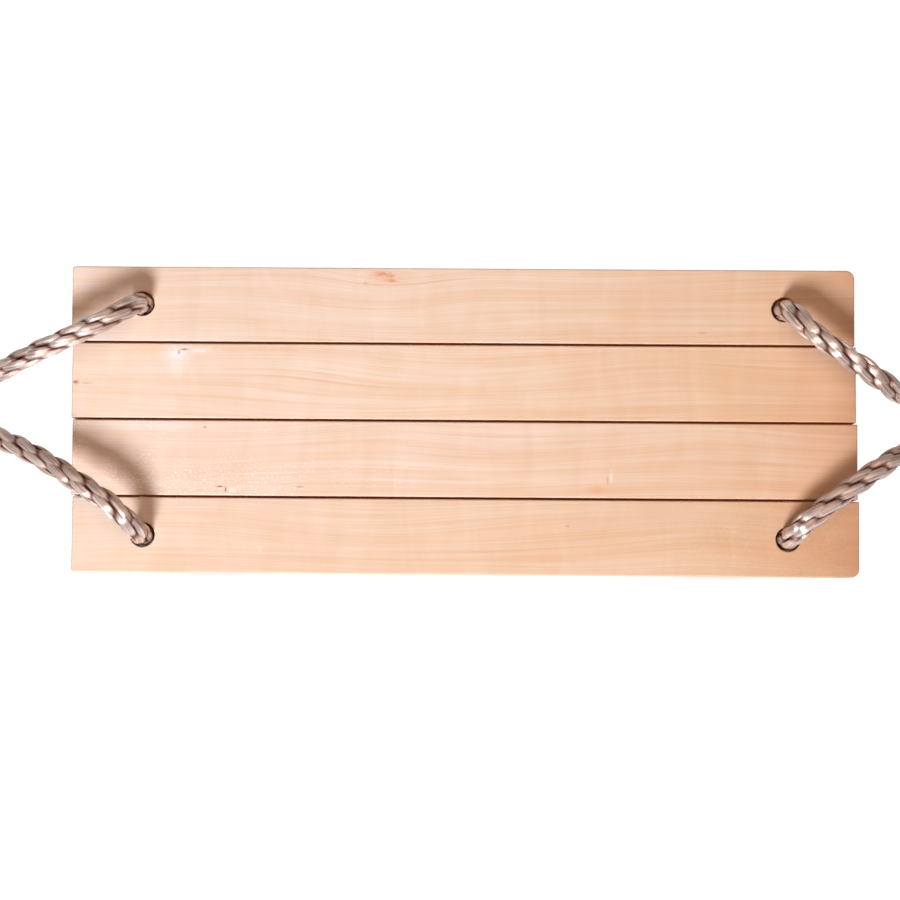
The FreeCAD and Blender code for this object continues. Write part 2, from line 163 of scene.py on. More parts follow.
def evenly(line, step):
    """The same line with its points an even distance apart, and that distance along it for each."""
    along = np.r_[0, np.cumsum(np.linalg.norm(np.diff(line, axis=0), axis=1))]
    count = max(2, int(round(along[-1] / step)) + 1)
    wanted = np.linspace(0, along[-1], count)
    return np.stack([np.interp(wanted, along, line[:, k]) for k in range(3)], 1), wanted


def frames_along(line):
    """Unit tangent, side and up vectors at each point, carried along the line without twist."""
    tangent = np.gradient(line, axis=0)
    tangent /= np.linalg.norm(tangent, axis=1)[:, None]
    side = np.cross(tangent[0], [0.0, 0.0, 1.0])
    if np.linalg.norm(side) < 0.1:
        side = np.cross(tangent[0], [1.0, 0.0, 0.0])
    sides = []
    for t in tangent:
        side = side - t * np.dot(side, t)
        side = side / np.linalg.norm(side)
        sides.append(side)
    sides = np.array(sides)
    return tangent, sides, np.cross(tangent, sides)


# ---------------------------------------------------------------- meshes

def new_object(name, vertices, faces, material, uv=None, smooth=True):
    """A mesh object from plain lists, with a UV for each vertex where it is given."""
    mesh = bpy.data.meshes.new(name)
    mesh.from_pydata([tuple(v) for v in vertices], [], faces)
    if uv is not None:
        layer = mesh.uv_layers.new(name="UVMap")
        corners = np.zeros(len(mesh.loops), dtype=np.int64)
        mesh.loops.foreach_get("vertex_index", corners)
        layer.data.foreach_set("uv", np.asarray(uv)[corners].ravel())
    if smooth:
        mesh.shade_smooth()
    else:
        mesh.shade_flat()
    mesh.materials.append(material)
    mesh.validate()
    obj = bpy.data.objects.new(name, mesh)
    bpy.context.scene.collection.objects.link(obj)
    return obj


def tube_grid(count, sides, first):
    """Faces of one closed tube: count rings of sides vertices that follow each other from first."""
    faces = []
    for i in range(count - 1):
        for k in range(sides):
            a = first + i * sides + k
            b = first + i * sides + (k + 1) % sides
            faces.append((a, b, b + sides, a + sides))
    faces.append(tuple(first + k for k in reversed(range(sides))))
    faces.append(tuple(first + (count - 1) * sides + k for k in range(sides)))
    return faces


def smoothstep(x):
    """An eased step from 0 to 1."""
    x = np.clip(x, 0.0, 1.0)
    return x * x * (3 - 2 * x)


def strand_paths(along, strand, rng):
    """Where one strand of a solid braid runs: its angle, radius, half width and half height.

    The strand lies on the rope's surface for two thirds of its cycle, as one leaf-shaped lobe,
    and dives to the core for the rest, to come up again one row further round.
    """
    cycles = (along - strand * LOBE) / (CORE * LOBE)
    row = np.round(cycles)
    part = cycles - row
    lobe = np.abs(part) * 2 * CORE
    on_top = part * LOBE_TURN * 2 * CORE / ROW_TURN
    dive = (lobe - 1.0) / (CORE - 1.0)
    below = np.sign(part) * (LOBE_TURN + dive * (ROW_TURN / 2 - LOBE_TURN)) / ROW_TURN
    first = int(row.min())
    change = rng.normal(0, 1, (4, int(row.max()) - first + 1))[:, (row - first).astype(int)]
    ease = smoothstep((1.15 - lobe) / 0.5)  # each lobe differs a little, but its ends still meet
    rows = row + np.where(lobe < 1.0, on_top, below)
    angle = np.radians(ROW_TURN * rows + 2.2 * ease * change[0])
    rise = 1.0 - (lobe / CORE) ** 2
    radius = 1.50 + 2.80 * rise + 0.14 * ease * change[1]
    wide = 1.70 + 1.08 * smoothstep((CORE - lobe) / 0.95) + 0.15 * ease * change[2]
    high = 1.50 + 0.52 * rise + 0.05 * ease * change[3]
    return angle, radius * MM, wide * MM, high * MM


def braid(name, line_points, step, sides, seed, turn=0.0):
    """A solid braid of nine strands along a line, each strand a closed tube of its own.

    Its depth attribute says how far each vertex is from the rope's middle, 1 at its surface; the
    material paints shade into the crevices from it.
    """
    line, along = evenly(line_points, step)
    _, across, up = frames_along(line)
    rng = np.random.default_rng(seed)
    around = np.linspace(0, 2 * math.pi, sides, endpoint=False) - math.pi / 2
    vertices, faces, uv, depth = [], [], [], []
    for strand in range(STRANDS):
        angle, radius, wide, high = strand_paths(along, strand, rng)
        angle = angle + math.radians(turn)
        out = across * np.cos(angle)[:, None] + up * np.sin(angle)[:, None]
        middle = line + out * radius[:, None]
        ahead = np.gradient(middle, axis=0)
        ahead /= np.linalg.norm(ahead, axis=1)[:, None]
        flat = np.cross(ahead, out)
        flat /= np.linalg.norm(flat, axis=1)[:, None]
        outside = np.cross(flat, ahead)
        rings = (
            middle[:, None]
            + (np.cos(around)[None] * wide[:, None])[..., None] * flat[:, None]
            + (np.sin(around)[None] * high[:, None])[..., None] * outside[:, None]
        )
        faces += tube_grid(len(line), sides, len(vertices))
        vertices.extend(rings.reshape(-1, 3).tolist())
        depth.extend((np.linalg.norm(rings - line[:, None], axis=2) / ROPE_R).ravel())
        run = along / ROPE_D + 0.37 * strand
        uv.extend((k / sides + 3 * strand, v) for v in run for k in range(sides))
    obj = new_object(name, vertices, faces, ROPE, uv)
    set_depth(obj, depth)
    return obj


def set_depth(obj, values):
    """Gives each vertex the depth from which the rope's material paints shade into its crevices."""
    obj.data.attributes.new("depth", "FLOAT", "POINT").data.foreach_set("value", values)


# ---------------------------------------------------------------- materials

class Tree:
    """Short ways to make and join the nodes of one material."""

    def __init__(self, name):
        self.material = bpy.data.materials.new(name)
        self.material.use_nodes = True
        self.nodes = self.material.node_tree.nodes
        self.links = self.material.node_tree.links
        self.shader = self.nodes["Principled BSDF"]

    def node(self, kind, **settings):
        """A new node, with each setting given to its property or its input of that name."""
        made = self.nodes.new(f"ShaderNode{kind}")
        for key, value in settings.items():
            if key in made.bl_rna.properties:
                setattr(made, key, value)
            else:
                self.plug(made.inputs[key], value)
        return made

    def plug(self, socket, value):
        """Links the value to the socket, or sets it."""
        if isinstance(value, bpy.types.NodeSocket):
            self.links.new(value, socket)
        else:
            socket.default_value = value

    def math(self, operation, *values):
        """The result of a math node."""
        made = self.nodes.new("ShaderNodeMath")
        made.operation = operation
        for socket, value in zip(made.inputs, values):
            self.plug(socket, value)
        return made.outputs[0]

    def place(self, scale=(1, 1, 1), at=(0, 0, 0), turn=(0, 0, 0), source="Object"):
        """The object's or the UV map's coordinates, scaled, turned and shifted."""
        coordinates = self.node("TexCoord").outputs[source]
        mapping = self.nodes.new("ShaderNodeMapping")
        self.links.new(coordinates, mapping.inputs["Vector"])
        mapping.inputs["Scale"].default_value = scale
        mapping.inputs["Location"].default_value = at
        mapping.inputs["Rotation"].default_value = turn
        return mapping.outputs[0]

    def noise(self, vector, scale, detail=3.0, rough=0.55, distort=0.0):
        """Noise from 0 to 1, read at a vector."""
        made = self.nodes.new("ShaderNodeTexNoise")
        for key, value in (
            ("Vector", vector), ("Scale", scale), ("Detail", detail),
            ("Roughness", rough), ("Distortion", distort),
        ):
            self.plug(made.inputs[key], value)
        return made.outputs["Fac"]

    def ramp(self, factor, *stops):
        """A colour or a grey read between stops, each a place from 0 to 1 and its tone."""
        made = self.nodes.new("ShaderNodeValToRGB")
        self.plug(made.inputs[0], factor)
        ramp = made.color_ramp
        while len(ramp.elements) < len(stops):
            ramp.elements.new(0.5)
        for element, (at, tone) in zip(ramp.elements, stops):
            element.position = at
            element.color = tone if isinstance(tone, tuple) else (tone, tone, tone, 1)
        return made.outputs[0]

    def squared(self, a, b):
        """The square of the distance whose two parts are given."""
        return self.math("ADD", self.math("POWER", a, 2.0), self.math("POWER", b, 2.0))

    def about(self, x, y, at_x, at_y, half_x, half_y):
        """The square of the distance from a place, in shares of the given half length and width."""
        across = self.math("DIVIDE", self.math("SUBTRACT", x, at_x * MM), half_x * MM)
        up = self.math("DIVIDE", self.math("SUBTRACT", y, at_y * MM), half_y * MM)
        return self.squared(across, up)

    def sample(self, vector, scale, at, *detail):
        """Noise read at a vector that is scaled and shifted."""
        placed = self.node("VectorMath", operation="MULTIPLY_ADD")
        for socket, value in zip(placed.inputs, (vector, scale, at)):
            self.plug(socket, value)
        return self.noise(placed.outputs[0], 1.0, *detail)

    def tangent(self):
        """The way that the UV map's first axis runs, for a sheen across the strands."""
        made = self.nodes.new("ShaderNodeTangent")
        made.direction_type = "UV_MAP"
        made.uv_map = "UVMap"
        return made.outputs[0]

    def mix(self, factor, a, b, blend="MIX"):
        """The colour b laid over a by the factor."""
        made = self.nodes.new("ShaderNodeMix")
        made.data_type = "RGBA"
        made.blend_type = blend
        self.plug(made.inputs[0], factor)
        self.plug(made.inputs[6], a)
        self.plug(made.inputs[7], b)
        return made.outputs[2]

    def bump(self, height, strength, distance):
        """Normals that make the height show, with the distance in metres."""
        made = self.nodes.new("ShaderNodeBump")
        self.plug(made.inputs["Height"], height)
        made.inputs["Strength"].default_value = strength
        made.inputs["Distance"].default_value = distance
        return made.outputs[0]

    def set(self, **values):
        """Gives the shader's inputs their values, and returns the finished material."""
        for key, value in values.items():
            self.plug(self.shader.inputs[key.replace("_", " ")], value)
        return self.material


def colour(red, green, blue):
    """A linear colour from the 0-255 values of a display colour."""
    parts = []
    for value in (red, green, blue):
        v = value / 255
        parts.append(v / 12.92 if v <= 0.04045 else ((v + 0.055) / 1.055) ** 2.4)
    return (*parts, 1.0)


def rope_material():
    """Beige silky filament: fine lines along each strand, a sheen across them, and painted shade
    that darkens the crevices.
    """
    tree = Tree("rope_filament")
    fine = tree.noise(tree.place(scale=(34, 0.35, 1), source="UV"), 1.0, 3.0, 0.65)
    yarns = tree.noise(tree.place(scale=(15, 0.30, 1), at=(3, 1, 0), source="UV"), 1.0, 2.0, 0.5)
    lines = tree.math("ADD", tree.math("MULTIPLY", fine, 0.4), tree.math("MULTIPLY", yarns, 0.6))
    yarn = tree.ramp(lines, (0.36, colour(164, 134, 124)), (0.50, colour(214, 190, 181)),
                     (0.62, colour(244, 229, 224)))
    depth = tree.node("Attribute", attribute_name="depth").outputs["Fac"]
    # Painted shade: the colour darkens towards the rope's middle, where the crevices between the
    # strands lie in shade.
    shade = tree.ramp(depth, (0.64, colour(66, 36, 32)), (0.79, colour(160, 122, 110)),
                      (0.88, colour(255, 255, 255)))
    return tree.set(
        Base_Color=tree.mix(1.0, yarn, shade, "MULTIPLY"), Roughness=0.36, Anisotropic=1.0,
        Metallic=0.38, Tangent=tree.tangent(), Normal=tree.bump(lines, 0.7, 0.0007),
        Specular_IOR_Level=1.0,
    )


def wood_material(name, seed, tint=(1, 1, 1), marks=(), bows=(), painted_gap_shade_sides=(False, False),
                  painted_sheen_specks=False, crosswise=False):
    """Planed pale softwood: fine grain along X, darker end grain and each board's own marks, with
    painted light that falls off towards the right end, painted sheen specks and painted shade in
    the gaps.

    marks are (x, y, half length, half width, colour, strength), in millimetres on the seat's top.
    bows are places (x, y, half length, half width) that the grain bends round by the given amount.
    The gap flags tell whether the front and the back edge face another board across a narrow gap;
    such an edge gets painted shade and a faint painted red-brown emission.
    crosswise turns the grain to run along Y.
    """
    tree = Tree(name)
    x, y, z = tree.node("SeparateXYZ", Vector=tree.place()).outputs
    facing = tree.node("TexCoord").outputs["Normal"]
    normal_x, normal_y, _ = tree.node("SeparateXYZ", Vector=facing).outputs
    if crosswise:
        x, y, normal_x, normal_y = y, x, normal_y, normal_x
    still = tree.node("CombineXYZ", X=x, Y=y, Z=z).outputs[0]
    wander = tree.sample(still, (4.5, 16, 16), (seed, 0, 0), 1.0)
    flow = tree.math("MULTIPLY_ADD", wander, 0.020, y)
    for *place, amount in bows:
        push = tree.math("EXPONENT", tree.math("MULTIPLY", tree.about(x, y, *place), -1.0))
        flow = tree.math("MULTIPLY_ADD", push, amount * MM, flow)
    flowing = tree.node("CombineXYZ", X=x, Y=flow, Z=z).outputs[0]
    fibres = tree.sample(flowing, (9, 1300, 900), (seed, seed, 0), 2.0)
    grain = tree.sample(flowing, (4.5, 240, 120), (seed, seed * 2.3, 0), 4.0, 0.62, 0.15)
    figure = tree.sample(flowing, (5.5, 40, 18), (seed * 3, seed, 0), 3.0, 0.55, 0.9)
    hairs = tree.sample(flowing, (6.0, 470, 300), (seed * 1.7, seed, 0), 2.0)
    silk = tree.sample(still, (55, 14, 14), (seed, 0, 1), 3.0, 0.6, 0.8)
    along = tree.math("MULTIPLY_ADD", x, 1 / (2 * SEAT_HALF_LENGTH), 0.5)
    # Painted light falloff: each board is paler at its left end and darker towards its right end,
    # standing in for the key light falling off.
    base = tree.ramp(
        along, (0.0, colour(249, 231, 221)), (0.5, colour(246, 223, 206)),
        (0.84, colour(238, 208, 183)), (0.96, colour(230, 192, 164)), (1.0, colour(212, 170, 140)))
    base = tree.mix(1.0, base, (*tint, 1), "MULTIPLY")
    for factor, low, high, dark in (
        (grain, 0.38, 0.60, colour(253, 246, 238)),
        (figure, 0.34, 0.64, colour(253, 246, 238)),
        (fibres, 0.38, 0.60, colour(249, 245, 240)),
        (silk, 0.35, 0.62, colour(252, 248, 243)),
    ):
        base = tree.mix(1.0, base, tree.ramp(factor, (low, dark), (high, WHITE)), "MULTIPLY")
    hair = tree.math("MULTIPLY", tree.ramp(hairs, (0.58, 0.0), (0.70, 1.0)),
                     tree.ramp(figure, (0.42, 0.0), (0.66, 0.8)))
    base = tree.mix(hair, base, tree.mix(1.0, base, colour(248, 231, 214), "MULTIPLY"))
    if painted_sheen_specks:
        # Painted sheen: whitish specks over the left part of the board stand in for a highlight on
        # its top.
        specks = tree.sample(still, (700, 900, 1), (seed, 0, 0), 1.0)
        patch = tree.sample(still, (30, 40, 1), (seed, 3, 0), 2.0)
        painted_sheen = tree.math("MULTIPLY", tree.ramp(specks, (0.58, 0.0), (0.68, 1.0)),
                         tree.ramp(patch, (0.42, 0.0), (0.60, 0.85)))
        painted_sheen = tree.math("MULTIPLY", painted_sheen, tree.ramp(along, (0.10, 1.0), (0.55, 0.0)))
        base = tree.mix(painted_sheen, base, WHITE)
    ragged = tree.sample(still, (520, 760, 520), (0, 0, 0), 4.0, 0.7)
    for *place, tone, strength in marks:
        away = tree.math("MULTIPLY_ADD", ragged, 1.3, tree.math("SQRT", tree.about(x, y, *place)))
        there = tree.ramp(tree.math("MULTIPLY", away, 0.5), (0.42, strength),
                          (0.60, strength * 0.4), (0.86, 0.0))
        base = tree.mix(there, base, colour(*tone))
    heart_y = tree.math("ADD", y, 0.012 * math.sin(3 * seed) - 0.05)
    heart_z = tree.math("ADD", z, 0.045 + 0.01 * math.cos(5 * seed))
    from_heart = tree.math("SQRT", tree.squared(heart_y, heart_z))
    waver = tree.sample(still, (48, 48, 48), (0, seed, 0), 2.0)
    ring = tree.math("FRACT", tree.math("MULTIPLY_ADD", from_heart, 400.0, waver))
    end_grain = tree.ramp(ring, (0.0, colour(214, 172, 134)), (0.55, colour(198, 150, 112)),
                          (0.90, colour(150, 98, 66)), (1.0, colour(205, 160, 122)))
    at_end = tree.ramp(tree.math("ABSOLUTE", normal_x), (0.35, 0.0), (0.85, 1.0))
    base = tree.mix(at_end, base, end_grain)
    painted_gap_glow = 0.0
    # Painted shade in the gaps: an edge that faces another board is coloured dark red-brown and
    # given a faint emission, standing in for the shade between the boards.
    for gets_gap_shade, facing in zip(painted_gap_shade_sides, (tree.math("MULTIPLY", normal_y, -1.0), normal_y)):
        if gets_gap_shade:
            painted_gap_shade = tree.ramp(facing, (0.86, 0.0), (0.98, 0.95))
            base = tree.mix(painted_gap_shade, base, colour(158, 78, 50))
            painted_gap_glow = tree.math("ADD", painted_gap_shade, painted_gap_glow)
    height = tree.math("MULTIPLY_ADD", fibres, 0.4, grain)
    return tree.set(
        Base_Color=base, Roughness=tree.ramp(grain, (0.35, 0.62), (0.65, 0.48)),
        Normal=tree.bump(height, 0.16, 0.0003), Specular_IOR_Level=0.4,
        Emission_Color=colour(62, 26, 12), Emission_Strength=painted_gap_glow,
    )


def steel_material(name, base, rough):
    """Plated steel wire with faint scratches and a slightly uneven shine."""
    tree = Tree(name)
    cloud = tree.noise(tree.place(scale=(60, 60, 60)), 1.0, 4.0)
    scratch = tree.noise(tree.place(scale=(900, 900, 2500)), 1.0, 2.0)
    tone = tree.ramp(cloud, (0.35, tuple(c * 0.78 for c in base[:3]) + (1,)), (0.65, base))
    spread = tree.math("MULTIPLY_ADD", cloud, 0.22, rough - 0.11)
    return tree.set(
        Base_Color=tone, Metallic=1.0, Roughness=spread, Normal=tree.bump(scratch, 0.05, 0.0001))


def twine_material():
    """Waxed brown twine, twisted."""
    tree = Tree("twine")
    twist = tree.noise(tree.place(scale=(3, 90, 1), turn=(0, 0, 0.7), source="UV"), 1.0, 2.0)
    tone = tree.ramp(twist, (0.38, colour(78, 52, 36)), (0.62, colour(146, 112, 84)))
    return tree.set(Base_Color=tone, Roughness=0.55, Normal=tree.bump(twist, 0.5, 0.0003))


def tape_material():
    """Dark woven tape with its weave running round the coil."""
    tree = Tree("tie_tape")
    wefts = tree.nodes.new("ShaderNodeTexWave")
    tree.plug(wefts.inputs["Vector"], tree.place(scale=(900, 900, 900), turn=(0.6, 0.4, 0.3)))
    wefts.inputs["Scale"].default_value = 0.9
    fuzz = tree.noise(tree.place(scale=(1500, 1500, 1500)), 1.0, 2.0)
    cloth = tree.math("MULTIPLY_ADD", wefts.outputs["Fac"], 0.6, tree.math("MULTIPLY", fuzz, 0.4))
    tone = tree.ramp(cloth, (0.25, colour(26, 25, 27)), (0.75, colour(70, 68, 70)))
    return tree.set(Base_Color=tone, Roughness=0.8, Normal=tree.bump(cloth, 0.5, 0.0003))


ROPE = rope_material()
TWINE = twine_material()
TAPE = tape_material()
ZINC = steel_material("zinc", colour(206, 208, 210), 0.30)
YELLOW_ZINC = steel_material("yellow_zinc", colour(214, 192, 130), 0.34)
BOARDS = {
    "back_slat": dict(
        seed=3.1, tint=(1.0, 1.04, 1.11), painted_gap_shade_sides=(True, False),
        bows=(
            (-46.0, 80.0, 45.0, 20.0, 9.0),
            (60.0, 60.0, 60.0, 14.0, -5.0),
            (-150.0, 62.0, 50.0, 16.0, -4.0),
        ),
        marks=(
            (-44.5, 82.5, 15.0, 6.0, (240, 182, 142), 0.55),
            (-47.5, 84.6, 7.0, 2.2, (222, 146, 104), 0.70),
            (-42.0, 80.6, 4.6, 1.4, (226, 142, 96), 0.75),
            (-42.5, 83.6, 3.0, 1.4, (186, 140, 112), 0.60),
            (-57.0, 79.0, 2.4, 1.6, (206, 170, 146), 0.50),
            (137.0, 51.5, 3.6, 0.9, (216, 150, 106), 0.55),
            (96.0, 60.0, 26.0, 9.0, (240, 192, 152), 0.35),
        ),
    ),
    "back_middle_slat": dict(
        seed=8.7, tint=(1.0, 1.02, 1.05), painted_gap_shade_sides=(True, True),
        bows=(
            (-40.0, 20.0, 70.0, 14.0, 2.0),
            (120.0, 26.0, 50.0, 16.0, -5.0),
        ),
        marks=(
            (-165.0, 37.5, 11.0, 9.0, (246, 242, 246), 0.95),
            (-152.0, 40.0, 12.0, 2.6, (250, 242, 242), 0.75),
            (-166.0, 29.0, 6.0, 7.0, (250, 240, 236), 0.65),
            (-161.0, 40.2, 3.6, 0.7, (104, 66, 50), 0.80),
            (-164.0, 38.8, 0.8, 1.8, (120, 84, 66), 0.70),
            (-223.0, 20.9, 2.8, 1.6, (160, 98, 58), 0.85),
            (-217.0, 20.4, 5.0, 1.2, (214, 158, 110), 0.50),
            (152.0, 22.0, 7.0, 18.0, (238, 186, 140), 0.30),
        ),
    ),
    "front_middle_slat": dict(
        seed=13.9, tint=(1.0, 1.03, 1.11),
        bows=(
            (20.0, -20.0, 60.0, 14.0, 6.0),
            (150.0, -14.0, 50.0, 14.0, -5.0),
        ),
        # This board's top gets painted sheen specks.
        painted_gap_shade_sides=(True, True), painted_sheen_specks=True,
        marks=(
            (-139.4, -38.6, 3.8, 0.7, (112, 66, 46), 0.85),
            (-136.0, -40.4, 0.8, 2.2, (112, 66, 46), 0.85),
            (-132.0, -40.8, 4.0, 1.7, (255, 246, 236), 0.80),
            (-93.6, -38.5, 2.6, 0.8, (188, 126, 90), 0.65),
            (-148.3, -4.5, 1.6, 0.9, (176, 120, 84), 0.60),
            (76.0, -39.0, 9.0, 4.4, (234, 172, 126), 0.60),
            (84.6, -31.5, 1.3, 4.6, (255, 240, 226), 0.65),
            (82.6, -34.0, 0.9, 3.4, (206, 146, 104), 0.50),
        ),
    ),
    "front_slat": dict(
        seed=21.3, tint=(0.965, 0.955, 0.96), painted_gap_shade_sides=(False, True),
        bows=(
            (-40.0, -66.0, 70.0, 16.0, 6.0),
            (140.0, -60.0, 50.0, 14.0, -5.0),
        ),
        marks=(
            # Painted shade: a broad darker patch over the right end of this board, standing in for
            # the light falling off there.
            (250.0, -66.0, 110.0, 70.0, (196, 146, 108), 0.60),
            (-116.0, -74.0, 1.3, 3.6, (255, 232, 206), 0.60),
            (60.0, -60.0, 1.4, 1.0, (206, 140, 96), 0.65),
            (48.0, -78.0, 30.0, 2.6, (238, 184, 142), 0.40),
        ),
    ),
}


def dress(node, material):
    """Gives a CAD node its material."""
    obj = frame["nodes"][node]
    obj.data.materials.clear()
    obj.data.materials.append(material)


for board, look in BOARDS.items():
    dress(board, wood_material(f"pine_{board}", **look))
for side in SIDES:
    cleat_seed = 31.0 + 9.1 * SIDES[side]
    dress(f"{side}_cleat", wood_material(f"pine_{side}_cleat", cleat_seed, crosswise=True))
    dress(f"{side}_cleat_screws", YELLOW_ZINC)
    dress(f"{side}_hanging_ring", ZINC)
    dress(f"{side}_coil_tie", TAPE)


# ---------------------------------------------------------------- ropes

def smooth_between(t, start, end, low, high):
    """low before start, high after end, and an eased step between."""
    return low + (high - low) * float(smoothstep((t - start) / (end - start)))


def coil_points(side, start, end):
    """The coil's turns: outer and inner below, then inner and outer above."""
    points_each_turn = 16
    shrink = (6 + 2 * math.cos(2 * math.pi / points_each_turn)) / 8
    inner, outer = (COIL_R - ROPE_R) / MM, (COIL_R + ROPE_R) / MM
    low, high = 6.3, 18.8
    count = int(round((end - start) / 360 * points_each_turn))
    points = []
    for i in range(1, count):
        t = i / count * (end - start) / 360
        radius = smooth_between(t, 0.85, 1.12, outer, inner)
        radius = smooth_between(t, 2.85, 3.12, radius, outer)
        z = smooth_between(t, 1.86, 2.10, low, high)
        points.append(on_coil(side, radius / shrink, start + t * 360, z))
    return points


def eye_points(side):
    """The rope's upper end: up onto the coil, round the eye and back over itself."""
    middle = on_coil(side, *EYE_POLAR, 0.0)
    middle.z = UPPER_Z + EYE_D / 2
    turn = math.radians(EYE_HEADING)
    ahead = Vector((SIDES[side] * math.cos(turn), math.sin(turn), 0)) * (EYE_D / 2)
    rise = Vector((0, 0, EYE_D / 2))
    climb = [18.75, 25.0, 31.1] + [UPPER_Z / MM] * (len(UPPER_END) - 3)
    start = [on_coil(side, r, a, z) for (r, a), z in zip(UPPER_END, climb)]
    lower = [on_coil(side, r, a, UPPER_Z / MM) for r, a in EYE_LEG]
    loop = [middle - rise + ahead, middle + rise + ahead, middle + rise - ahead * 0.6]
    lift = Vector((0, 0, ROPE_D + EYE_RISE))
    return start + lower + loop + [lower[1] + lift, lower[0] + lift]


def knot_route(side):
    """The back leg's way through the knot: out at its far face, three times round, and through."""
    start, middle = KNOT_START[side]
    rope, half = ROPE_D / MM, ROPE_R / MM
    end = start + KNOT_TURNS * rope
    low, top = rope + half, KNOT_TOP
    corners = ((middle + half, low), (middle, top), (middle - half, low))
    points = [(start + 3, middle + half, low), (start + 18, middle + half, low),
              (end - 3, middle + half, low), (end + 4.5, middle + half + 1.5, low),
              (end + 6.5, middle + half + 8.5, low)]
    steps = 24
    for i in range(1, int((KNOT_TURNS - 0.25) * steps) + 1):
        turn = 2 * math.pi * (i / steps - 0.02)
        way = (math.cos(turn), math.sin(turn))
        y, z = max(corners, key=lambda c: c[0] * way[0] + c[1] * way[1])
        u = end - half - (i / steps) * rope
        points.append((u, y + rope * way[0], max(z + rope * way[1], 6.3)))
    points += [
        (start - 2, middle + 10, low + 18), (start - 5.5, middle + 3, top + 5.5),
        (start - 4.5, middle, top + 0.5), (start + 6, middle, top), (start + 20, middle, top),
        (end, middle, top), (end + 12, middle + 1, top - 0.5), (end + 26, middle + 4, top - 3),
    ]
    return [outward(side, *p) for p in points]


def make_knot(side):
    """The wrapped knot that joins the two bridle legs, with its short tail."""
    line = nurbs_line(f"{side}_knot_line", knot_route(side))
    knot = braid(f"{side}_rope_knot_braid", line, 2.0 * MM, 8, seed=31 + SIDES[side])
    join(knot, make_seal(line))
    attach(knot, "seat")
    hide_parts(f"{side}_rope_knot")
    return knot


def make_seal(line):
    """The melted end that keeps a cut rope from fraying."""
    line, _ = evenly(line, MM)
    ahead = (line[-1] - line[-3]) / np.linalg.norm(line[-1] - line[-3])
    rings = ((-3.0, 5.2), (-2.0, 5.9), (0.6, 5.9), (1.4, 5.3), (1.7, 3.6), (1.75, 1.0))
    sides = 24
    vertices, uv = [], []
    middles = np.array([line[-1] + ahead * step * MM for step, _ in rings])
    _, across, up = frames_along(middles)
    for middle, (step, reach) in zip(middles, rings):
        for a in np.linspace(0, 2 * math.pi, sides, endpoint=False):
            lumpy = reach * MM * (1 + 0.03 * math.cos(6 * a))
            vertices.append(middle + lumpy * (math.cos(a) * across[0] + math.sin(a) * up[0]))
            uv.append((a, step))
    seal = new_object("rope_seal", vertices, tube_grid(len(rings), sides, 0), ROPE, uv)
    set_depth(seal, [0.76] * len(vertices))
    return seal


def join(first, second):
    """Adds the second object's mesh to the first's, which keeps its name."""
    for obj in bpy.context.scene.objects:
        obj.select_set(obj in (first, second))
    bpy.context.view_layer.objects.active = first
    bpy.ops.object.join()


def wound_tube(name, points, radius, sides, material):
    """A plain round tube along the given points, closed at both ends."""
    line = np.array([tuple(p) for p in points])
    _, across, up = frames_along(line)
    along = np.r_[0, np.cumsum(np.linalg.norm(np.diff(line, axis=0), axis=1))]
    around = np.linspace(0, 2 * math.pi, sides, endpoint=False)
    way = (np.cos(around)[None, :, None] * across[:, None]
           + np.sin(around)[None, :, None] * up[:, None])
    vertices = (line[:, None] + radius * way).reshape(-1, 3).tolist()
    uv = [(k / sides, v / 0.012) for v in along for k in range(sides)]
    return new_object(name, vertices, tube_grid(len(line), sides, 0), material, uv)


def make_whipping(side):
    """Twine wound round the eye's two rope parts, turn against turn."""
    high, low = (on_coil(side, r, a, UPPER_Z / MM) for r, a in EYE_LEG)
    along = (high - low).normalized()
    across = along.cross(Vector((0, 0, 1)))
    rise = Vector((0, 0, 1))
    gap = ROPE_D + EYE_RISE
    start = (low + high) * 0.5 - along * (WHIPPING_LENGTH / 2 - TWINE_D / 2)
    turns = int((WHIPPING_LENGTH - TWINE_D) / TWINE_D)
    reach = ROPE_R + TWINE_D / 2
    steps = 36
    points = []
    for i in range(turns * steps + 1):
        turn = 2 * math.pi * i / steps
        base = rise * (gap if math.sin(turn) > 1e-6 else 0.0)
        points.append(
            start + along * (TWINE_D * i / steps) + base
            + (across * math.cos(turn) + rise * math.sin(turn)) * reach)
    whipping = wound_tube(f"{side}_eye_whipping_twine", points, TWINE_D / 2, 6, TWINE)
    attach(whipping, "seat")
    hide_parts(f"{side}_eye_whipping")
    return whipping


def make_ropes(side):
    """One side's rope: the bridle through the seat, and the hanging part with its coil and eye."""
    bridle_line = nurbs_line(f"{side}_bridle_line", [outward(side, *p) for p in BRIDLE[side]])
    bridle = braid(f"{side}_rope_bridle_braid", bridle_line, 1.0 * MM, 12,
                   seed=11 + SIDES[side], turn=BRAID_TURN[side])
    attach(bridle, "seat")
    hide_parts(f"{side}_rope_bridle")
    knot = make_knot(side)
    start, middle = KNOT_START[side]
    route = [outward(side, start + u, middle - 6.3, 18.8) for u in (4, 20)]
    route += [outward(side, *p) for p in FALL[side]]
    route += coil_points(side, COIL_START, 360.0 * COIL_TURNS + COIL_END)
    route += eye_points(side)
    hanging_line = nurbs_line(f"{side}_hanging_line", route)
    hanging = braid(f"{side}_rope_hanging_braid", hanging_line, 2.2 * MM, 8, seed=21 + SIDES[side])
    join(hanging, make_seal(hanging_line))
    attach(hanging, "seat")
    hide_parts(f"{side}_rope_fall", f"{side}_rope_coil", f"{side}_rope_eye")
    make_whipping(side)


for side in SIDES:
    make_ropes(side)


# ---------------------------------------------------------------- floor, light and camera

